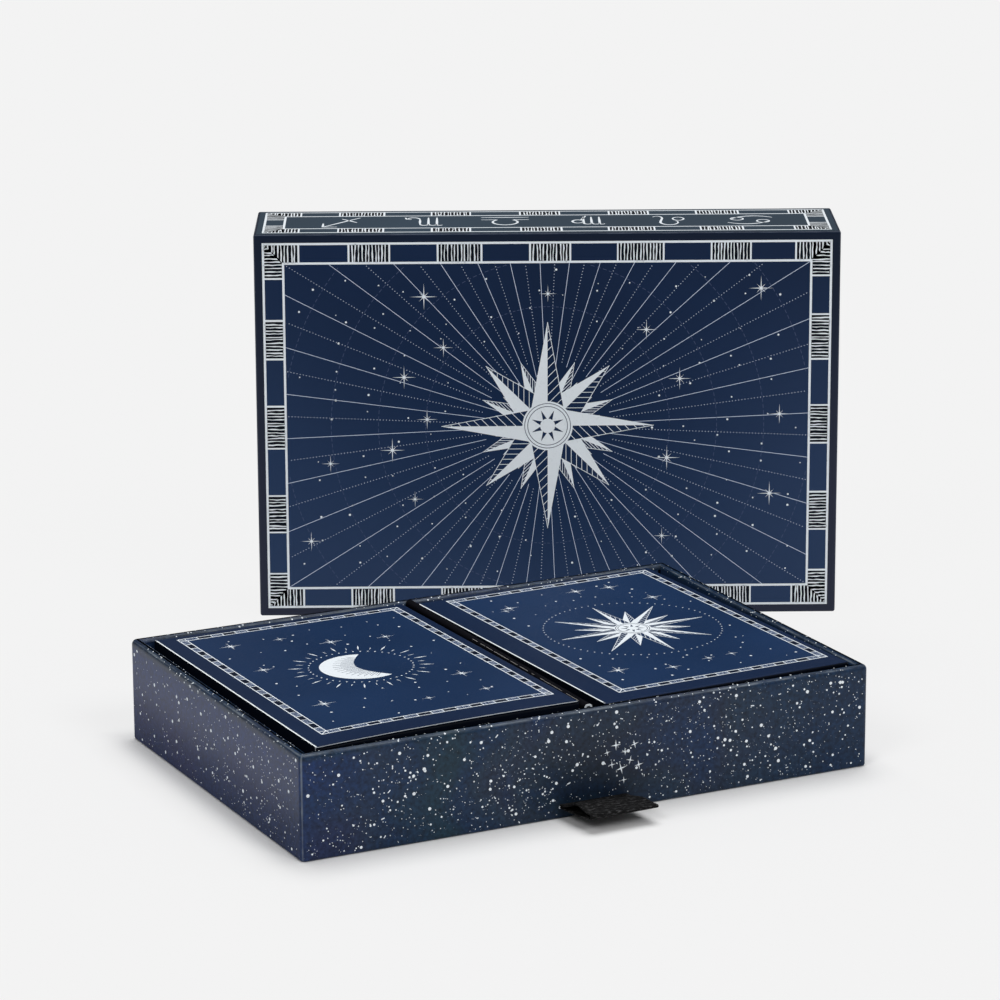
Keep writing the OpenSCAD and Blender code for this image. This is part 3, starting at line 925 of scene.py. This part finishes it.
def ribbon_finish(name):
    """Black ribbed ribbon: threads drawn out across its width, and on some of them painted highlights,
    most on the ribs.
    """
    f = Finish(name, Specular_IOR_Level=0.12)
    run, across, rib = f.attribute("run"), f.attribute("across"), f.attribute("rib")
    way = f.node("ShaderNodeCombineXYZ", None, {0: 0.9 * across, 1: 3.0 * run})
    inputs = {"Vector": way, "Scale": 1.0, "Detail": 3.0, "Roughness": 0.65}
    thread = f.node("ShaderNodeTexNoise", None, inputs)
    # Painted highlight: pale thread marks on the black ribbon, most on the rib crests.
    pale = f.step(thread, 0.50, 0.64) * (0.2 + 0.8 * rib)
    return f.feed(Base_Color=f.mix((0.0030, 0.0030, 0.0034), (0.058, 0.058, 0.060), pale),
                  Roughness=0.8 - 0.15 * pale, Normal=f.bump(thread, 0.12))


# The feet of these two finishes are painted light on the sleeve's lower faces.
navy_wrap = printed_paper("navy_wrap", (0.0030, 0.0108, 0.032), foot=(0.023, 0.028, 0.052))
navy_field = printed_paper("navy_field", (0.0034, 0.0178, 0.061), foot=(0.021, 0.046, 0.114))
# Painted sheen: the spine's ground is greyer and lighter than the face's, as a top face that catches light.
navy_spine_painted_sheen = printed_paper("navy_spine_painted_sheen", (0.0185, 0.0415, 0.069), specular=0.22)
navy_card = printed_paper("navy_card", (0.0085, 0.0205, 0.058), rough=0.45, specular=0.06)
navy_panel = printed_paper("navy_panel", (0.0110, 0.0320, 0.090), rough=0.45, specular=0.06)
night_card = printed_paper("night_card", (0.0020, 0.0040, 0.010), rough=0.5, specular=0.1)
dusk_card = printed_paper("dusk_card", (0.0045, 0.0090, 0.024), rough=0.5, specular=0.06)
starry_wrap = starry_paper("starry_wrap")
white_card = plain_paper("white_card", (0.90, 0.95, 0.98), depth=0.005, spread=0.02)
grey_board = plain_paper("grey_board", (0.36, 0.35, 0.33), fibre=0.8, depth=0.05)
black_lining = plain_paper("black_lining", (0.004, 0.004, 0.006), fibre=0.4, specular=0.04)
black_ribbon = ribbon_finish("black_ribbon")
bright_ink = ink_finish("bright_ink", (0.89, 0.95, 1.0))
fine_ink = ink_finish("fine_ink", (0.70, 0.79, 0.97))
faint_ink = ink_finish("faint_ink", (0.070, 0.095, 0.190))
SLEEVE_INKS = [bright_ink, faint_ink, navy_field, fine_ink, night_card]
SPINE_INKS = [bright_ink, faint_ink, navy_spine_painted_sheen, fine_ink, night_card]
DECK_INKS = [bright_ink, faint_ink, navy_panel, fine_ink, dusk_card]


# Sleeve

def make_sleeve_wrap():
    """The wrap: down inside the boards, under the mouth, up the outside, and closed over the spine."""
    inner = WALL - WRAP_T
    corners = [(WRAP_T, SLEEVE_H - WRAP_T), (WRAP_T, WRAP_T), (inner, WRAP_T), (inner, LINING_SETBACK),
               (WALL, LINING_SETBACK), (WALL, 0), (0, 0), (0, SLEEVE_H), (SLEEVE_EDGE_R + TURN_IN, SLEEVE_H)]
    profile, bends = rounded_path(corners, [0, 0, 0, 0, SLEEVE_EDGE_R / 2, SLEEVE_EDGE_R, SLEEVE_EDGE_R])
    parts = Parts()
    wrapped(parts, sleeve, (0, SLEEVE_T / 2), SLEEVE_W, SLEEVE_T, profile, bends, SLEEVE_EDGE_R)
    make("sleeve_paper", parts, "sleeve", "navy_wrap", [navy_wrap], ["sleeve_wrap", "sleeve_mouth_hems"])


def make_sleeve_prints():
    """Ink on the face, the spine, the back and both sides."""
    prints = {name: Parts() for name in ("face", "spine", "back", "sides")}
    middle = SLEEVE_H / 2
    for name, level, way in (("face", 0, 1), ("back", SLEEVE_T, -1)):
        side = Print(prints[name], sleeve, (0, level, middle), (way, 0, 0), (0, 0, 1))
        side.shapes(frame_path(SLEEVE_W, SLEEVE_H, FRAME_INSET)[None], FIELD, GROUND_LAYER)
        map_border(side, SLEEVE_W, SLEEVE_H, 5, 3, 0.7)
        star_chart(side, SLEEVE_W, SLEEVE_H)
    spine = Print(prints["spine"], sleeve, (0, SLEEVE_T / 2, SLEEVE_H), (-1, 0, 0), (0, -1, 0))
    spine_print(spine, SLEEVE_W, SLEEVE_T)
    stars, margin, spacing = 26, 18, 24
    for end in (-1, 1):
        origin = (end * SLEEVE_W / 2, SLEEVE_T / 2, middle)
        side = Print(prints["sides"], sleeve, origin, (0, end, 0), (0, 0, 1))
        map_border(side, SLEEVE_T, SLEEVE_H, 0, 3)
        places = scatter(stars, SLEEVE_T - margin, SLEEVE_H - margin, 0)
        side.dots(places, random.uniform(0.14, 0.3, stars), 6)
        side.sparkles([(0, -spacing), (0, 0), (0, spacing)], [2.6, 3.6, 2.6])
    for name, parts in prints.items():
        inks = SPINE_INKS if name == "spine" else SLEEVE_INKS
        make(f"sleeve_{name}_print", parts, "sleeve", "navy_wrap", inks)


# Tray

def make_tray_wrap():
    """The wrap: from under the foot up the walls, over the round rim and down the inside, black there."""
    under, inner, top, steps = FOOT_R + TURN_IN, WALL - WRAP_T, TRAY_H - WRAP_T, 8
    outside = [(under, 0), (0, 0), (0, TRAY_H), (WALL, TRAY_H), (WALL, LINING_TOP)]
    inside = [(inner, LINING_TOP), (inner, top), (WRAP_T, top), (WRAP_T, WRAP_T), (under, WRAP_T)]
    profile, bends = rounded_path(outside, [FOOT_R, RIM_R, RIM_R], steps)
    lining, _ = rounded_path(inside, [RIM_R - WRAP_T, RIM_R - WRAP_T, 0], steps)
    bends[profile[:, 1] > FOOT_R] *= 0.99
    whole, bends = np.vstack([profile, lining]), np.r_[bends, 0 * lining[:, 0]]
    black = (whole[:, 0] > WALL - TINY) & (whole[:, 1] < TRAY_H - RIM_R + TINY)
    parts = Parts()
    wrapped(parts, tray, (0, 0), TRAY_W, TRAY_D, whole, bends, RIM_R, True, black * 1)
    make("tray_paper", parts, "tray", "starry_wrap", [starry_wrap, black_lining], ["tray_wrap"])


def make_tray_foot():
    """The paper under the base, inside the wrap's turned edge."""
    inset = FOOT_R + TURN_IN
    parts = Parts()
    profile = np.array([(inset, 0), (inset, WRAP_T)])
    wrapped(parts, tray, (0, 0), TRAY_W, TRAY_D, profile, np.zeros(2), inset + 0.5)
    make("tray_foot_paper", parts, "tray", "navy_wrap", [navy_wrap], ["tray_base_paper"])


# A wall's quarter turn from the front one, its stars to a square millimetre, and the share of large ones
WALLS = ((0, 0.44, 0.075), (2, 0.4, 0.06), (3, 0.26, 0.13), (1, 0.4, 0.06))


def make_tray_print():
    """Stars on the outer walls, over the rim and beside the pull tab, and a plain lip inside the rim."""
    parts = Parts()
    low, high, up = FOOT_R, TRAY_H - RIM_R, np.array([0, 0, 1.0])
    for turn, density, large_share in WALLS:
        along, inward = np.pad(quarter_turn(turn), ((0, 0), (0, 1)))
        half, length = (TRAY_W / 2, TRAY_D) if turn % 2 else (TRAY_D / 2, TRAY_W)
        wall = Print(parts, tray, up * (low + high) / 2 - inward * half, along, up)
        speckle(wall, length - 2 * RIM_R, high - low, density, large_share)
        lip = Print(parts, tray, up * (LINING_TOP + high) / 2 - inward * (half - WALL), -along, up)
        lip.shapes(frame_path(length - 2 * WALL - 1, high - LINING_TOP, 0)[None], FIELD)
        count, strip = int(length * 0.17), (length - 2 * WALL - 2, 0.3)
        for angle in np.radians([15, 40, 65, 90, 115, 140, 165]):
            c, s = math.cos(angle), math.sin(angle)
            origin = up * (high + RIM_R * s) - inward * (half - RIM_R + RIM_R * c)
            crest = Print(parts, tray, origin, along, up * c + inward * s)
            places = random.uniform(-0.5, 0.5, (count, 2)) * strip
            crest.dots(places, np.minimum(0.12 * np.exp(random.normal(0, 0.4, count)), 0.24), 6)
    front = Print(parts, tray, (0, -TRAY_D / 2, 0), (1, 0, 0), (0, 0, 1))
    spots = [(3.4, 13.6), (5.6, 15.0), (7.9, 13.2), (10.3, 14.6), (4.6, 10.6), (6.9, 9.4), (9.2, 11.0),
             (11.4, 9.6), (7.6, 6.6)]
    front.stars(spots, random.uniform(0.7, 1.5, len(spots)), 4, 0.17, random.uniform(-0.25, 0.25, len(spots)))
    make("tray_star_print", parts, "tray", "starry_wrap", SLEEVE_INKS)


# Decks

def make_deck(side, lid_end, lifts, emblem, middle, size):
    """A tuck box: the shell's folded panels, the lid and the print. lid_end is 1 for a lid at the far end.

    lifts are the heights of the face's front right corner and of its front edge's bow. The emblem has a
    middle and a size.
    """
    place = LiftedBox(decks[side], *lifts)
    x, y, z, t, r = BOX_W / 2, BOX_L / 2, BOX_H, CARD_T, FOLD_R
    seam, glue_gap, flap_play = y - r - SEAM, 0.06, 0.2
    finishes = [navy_card, white_card, night_card]

    def card(corners, count):
        return finer(rounded_path(corners, [r] * count)[0], CARD_STEP)

    def printed(path):
        return np.where(path[1:, 1] > z - r / 2, FACE, THIRD)

    shell = Parts()
    path = card([(-x, z), (-x, 0), (x, 0), (x, z), (-x + t + glue_gap, z)], 3)
    on_face = (path[:, 1] > z - TINY) & (path[:, 0] > -x + TINY)
    on_floor = path[:, 1] < TINY
    closed = np.where(on_face, seam, y - t)
    opened = np.where(on_face, y, np.where(on_floor, seam, y - t))
    ends = (-closed, opened) if lid_end > 0 else (-opened, closed)
    folded(shell, place, 0, path, t, *ends, printed(path), rows=24)
    path = card([(-lid_end * seam, z), (-lid_end * y, z), (-lid_end * y, 0)], 1)
    folded(shell, place, 1, path, lid_end * t, -x, x, printed(path), rows=18, sides=THIRD)
    make(f"{side}_tuck_box", shell, f"{side}_deck", "navy_card", finishes, [f"{side}_box_shell"])

    lid = Parts()
    tip = y - decks[side].size(f"{side}_box_lid")[1]
    path = card([(lid_end * seam, 0), (lid_end * y, 0), (lid_end * y, z - t), (lid_end * tip, z - t)], 2)
    half = np.where(path[:, 1] > z - t - TINY, x - t - flap_play, x)
    folded(lid, place, 1, path, lid_end * t, -half, half, THIRD, rows=18)
    make(f"{side}_tuck_lid", lid, f"{side}_deck", "navy_card", finishes, [f"{side}_box_lid"])

    print_parts = Parts()
    emblem(Print(print_parts, place, (*middle, z), (1, 0, 0), (0, 1, 0)), *size)
    if lid_end < 0:
        edge = Print(print_parts, place, (0, -y, z), (1, 0, 0), (0, 0, 1))
        edge.strip(finer(np.array([[-x, -0.7 * t], [x, -0.7 * t]]), INK_STEP), 0.6 * t, ink=NIGHT)
    make(f"{side}_deck_print", print_parts, f"{side}_deck", "navy_card", DECK_INKS)


# Insert and ribbon

def make_insert():
    """One folded card: skirt, platform, the ridge that parts the decks, platform, skirt.

    Grey dashes on the ridge's left shoulder are painted highlight along its crest, in the board's grey.
    """
    low, high = tray.box("deck_insert")
    platform = decks["left"].origin[2]
    t, ridge, ridge_r, skirt_r, root_r = 0.5, 1.0, 0.85, 0.6, 0.15
    x, y = high[0], high[1]
    corners = [(x, low[2]), (x, platform), (ridge, platform), (ridge, high[2]), (-ridge, high[2]),
               (-ridge, platform), (-x, platform), (-x, low[2])]
    path, _ = rounded_path(corners, [skirt_r, root_r, ridge_r, ridge_r, root_r, skirt_r], guard=0.1)
    parts = Parts()
    folded(parts, tray, 0, path, t, -y, y)
    lean, crest_highlights = math.radians(34), 14
    c, s = math.cos(lean), math.sin(lean)
    shoulder = (ridge_r - ridge - ridge_r * s, 0, high[2] - ridge_r * (1 - c))
    crest = Print(parts, tray, shoulder, (0, 1, 0), (-c, 0, -s))
    # Painted highlight: grey dashes along the ridge's crest, in the board's grey.
    places = np.cumsum(random.uniform(2.2, 5.2, crest_highlights)) - y
    crest.dashes(row_of(places, 0.0), 0.0, random.uniform(1.4, 4.6, crest_highlights), 0.08, THIRD)
    finishes = [black_lining, white_card, grey_board]
    make("deck_insert_card", parts, "tray", "black_lining", finishes, ["deck_insert"])


def make_ribbon():
    """The ribbon: glued tail, out through the slit, round the fold and back, with ribs across its length.

    Both layers run beside a middle line that rises towards the fold as s ** 1.5. Their half gap goes from
    half a thickness at the slit to the fold's radius, and the upper one bulges up by sin(pi s) ** 2. Radius
    and bulge shrink from the left edge to the right one, and the loop leans to the right by a shear.
    """
    low, high = tray.box("pull_tab", "pull_tab_tail")
    floor = tray.box("pull_tab_tail")[0][2]
    front, half_w = -TRAY_D / 2, (high[0] - low[0]) / 2
    t, root, bend, lift, shear = 0.5, 0.8, 2.5, 1.0, 1.2
    rib_h, rib_pitch, tail_step, loop_rows, fold_rows = 0.11, 1.3, 0.12, 110, 18
    column = np.r_[-1, -0.985, np.linspace(-0.95, 0.95, 15), 0.985, 1]
    edge = np.interp(np.abs(column), [0.95, 0.985, 1], [1, 0.75, 0])
    fold = 0.26 + 0.19 * (1 - column)
    bulge = 0.62 + 0.42 * (1 - column)
    reach = front - low[1] - fold - t / 2
    tail = np.arange(front - high[1], 0, tail_step)[:, None] + 0 * reach
    out = np.vstack([tail, np.linspace(0, 1, loop_rows)[:, None] * reach])
    step = np.clip((out - root) / (reach - root), 0, 1)
    gap = t / 2 + (fold - t / 2) * step
    middle = floor + t + lift * step ** 1.5
    turn = np.linspace(-QUARTER, QUARTER, fold_rows)[1:-1, None]
    bottom = np.stack([out, middle - gap], -1)
    round_fold = np.stack([reach + fold * np.cos(turn), middle[-1] + fold * np.sin(turn)], -1)
    top = np.stack([out, middle + gap + bulge * np.sin(math.pi * step) ** 2], -1)
    line = np.concatenate([bottom, round_fold, top[::-1]])
    run = np.r_[0, np.cumsum(np.linalg.norm(np.diff(line[:, len(column) // 2], axis=0), axis=1))]
    way = np.gradient(line, axis=0)
    side = left_of(way) / np.linalg.norm(way, axis=-1, keepdims=True)
    rib = rib_h * np.abs(np.sin(math.pi * run / rib_pitch))
    thick = ((t / 2 - rib_h + rib)[:, None] * (0.35 + 0.65 * edge))[..., None]
    skins = []
    for skin in (line - side * thick, line + side * thick):
        lean = shear * np.clip(skin[..., 0] / reach, 0, None)
        skins.append(np.stack([column * half_w + lean, front - skin[..., 0], skin[..., 1]], -1))
    loop = np.concatenate([skins[0], skins[1][:, ::-1]], 1)
    rows, count = loop.shape[:2]
    parts = Parts()
    parts.add(tray.out(loop), (quads(rows, count), 0), *caps(rows, count))
    ribbon = make("pull_ribbon", parts, None, "black_ribbon", [black_ribbon], ["pull_tab", "pull_tab_tail"],
                  run=np.repeat(run, count), rib=np.repeat(rib / rib_h, count),
                  across=np.tile(np.r_[column, column[::-1]] * half_w, rows))
    start, stop = tray.out(np.array([[0, front - root, floor + t], [0, front - root - bend, floor + t]]))
    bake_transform(ribbon)
    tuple(start)
    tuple(stop)
    2 * half_w * MM


# Stage

CAMERA_AT = (-9.45, -937.82, 313.26)
CAMERA_YAW, CAMERA_PITCH, CAMERA_ROLL = (math.radians(a) for a in (0.653, 15.084, -0.249))
CAMERA_LENS = 153.11


def make_camera():
    """The camera, aimed by a yaw from +Y, a pitch down and a roll."""
    data = bpy.data.cameras.new("camera")
    data.lens, data.sensor_width, data.clip_end = CAMERA_LENS, 36.0, 50.0
    ahead, drop = math.cos(CAMERA_PITCH), -math.sin(CAMERA_PITCH)
    look = np.array([math.sin(CAMERA_YAW) * ahead, math.cos(CAMERA_YAW) * ahead, drop])
    level = np.array([math.cos(CAMERA_YAW), -math.sin(CAMERA_YAW), 0])
    over = np.cross(level, look)
    right = math.cos(CAMERA_ROLL) * level + math.sin(CAMERA_ROLL) * over
    up = math.cos(CAMERA_ROLL) * over - math.sin(CAMERA_ROLL) * level
    pose = np.eye(4)
    pose[:3] = np.stack([right, up, -look, np.array(CAMERA_AT) * MM], -1)
    camera = link("camera", data)
    camera.matrix_world = Matrix(pose.tolist())
    bpy.context.scene.camera = camera


PALE = 0.896
SURROUND = 0.19
OVERHEAD_SHARE, LEFT_SHARE, RIGHT_SHARE = 0.55, 0.12, 0.14
ASIDE_GLOW, BEHIND_GLOW = 0.6, 0.36


def add_sun(name, towards, share, spread):
    """A soft sun from a direction, which gives a level surface that share of the plain light."""
    towards = np.array(towards) / np.linalg.norm(towards)
    data = bpy.data.lights.new(name, "SUN")
    data.energy = math.pi * share / towards[2]
    data.angle = math.radians(spread)
    link(name, data).rotation_euler = (0, math.acos(towards[2]), math.atan2(towards[1], towards[0]))


def floor_finish():
    """A pale ground that partly shows its own colour to the camera and to reflections.

    So its shadows are as faint as a studio's: not in front of the tray, partly at its other sides, and almost
    wholly behind.
    """
    f = Finish("floor", Specular_IOR_Level=0.0, Roughness=1.0)
    f.feed(Base_Color=f.ramp(f.noise(900.0), (0.0, (PALE,) * 3), (1.0, (PALE + 0.004,) * 3)))
    across, deep = f.along("XY")
    cos, sin = tray.axes[0, :2].tolist()
    u, v = cos * across + sin * deep, cos * deep - sin * across
    aside = (abs(u) - float(TRAY_W / 2 * MM)).larger(v - float(TRAY_D / 2 * MM))
    own_share = ASIDE_GLOW * f.step(aside, 0.001, 0.009) + BEHIND_GLOW * f.step(deep, 0.06, 0.10)
    kinds = ("Camera", "Glossy", "Transmission")
    rays = [f.node("ShaderNodeLightPath", output=f"Is {kind} Ray") for kind in kinds]
    seen = f.node("ShaderNodeClamp", None, {0: rays[0] + rays[1] + rays[2]})
    glow = f.node("ShaderNodeEmission", None, {"Color": (PALE, PALE, PALE, 1), "Strength": 1.0})
    lit = Value(f, f.shader.outputs[0])
    both = f.node("ShaderNodeMixShader", None, {0: seen * own_share, 1: lit, 2: glow})
    f.tree.links.new(both.socket, f.tree.nodes["Material Output"].inputs["Surface"])
    return f.material


def make_stage():
    """A pale floor in an even surround, a broad light overhead, and two weak ones from the front."""
    scene = bpy.context.scene
    scene.view_settings.view_transform = "Standard"
    mesh = bpy.data.meshes.new("floor")
    reach, drop = 12.0, -0.02 * MM
    corners = [(-reach, -reach, drop), (reach, -reach, drop), (reach, reach, drop), (-reach, reach, drop)]
    mesh.from_pydata(corners, [], [(0, 1, 2, 3)])
    mesh.materials.append(floor_finish())
    floor = link("floor", mesh)
    world = bpy.data.worlds.new("surround")
    world.use_nodes = True
    scene.world = world
    world.node_tree.nodes["Background"].inputs["Color"].default_value = (1, 1, 1, 1)
    world.node_tree.nodes["Background"].inputs["Strength"].default_value = SURROUND
    add_sun("overhead_light", (0.05, 0.20, 0.97), OVERHEAD_SHARE, 46)
    add_sun("left_light", (-0.42, -0.62, 0.66), LEFT_SHARE, 22)
    add_sun("right_light", (0.50, -0.58, 0.64), RIGHT_SHARE, 22)


make_camera()
make_stage()
make_sleeve_wrap()
make_sleeve_prints()
make_tray_wrap()
make_tray_foot()
make_tray_print()
make_deck("left", -1, (0.9, 0.45), moon_print, (1.0, 2.2), (BOX_W - 7.4, BOX_L - 9.6))
make_deck("right", 1, (0.0, 0.0), sun_print, (2.4, 1.95), (BOX_W - 9.0, BOX_L - 7.0))
make_insert()
make_ribbon()
shown = {"grey_board": grey_board, "black_lining": black_lining, "white_card": white_card}
for subpart in frame["record"]["subparts"]:
    if subpart["material_slot"] in shown:
        mesh = frame["nodes"][subpart["node"]].data
        mesh.materials.clear()
        mesh.materials.append(shown[subpart["material_slot"]])
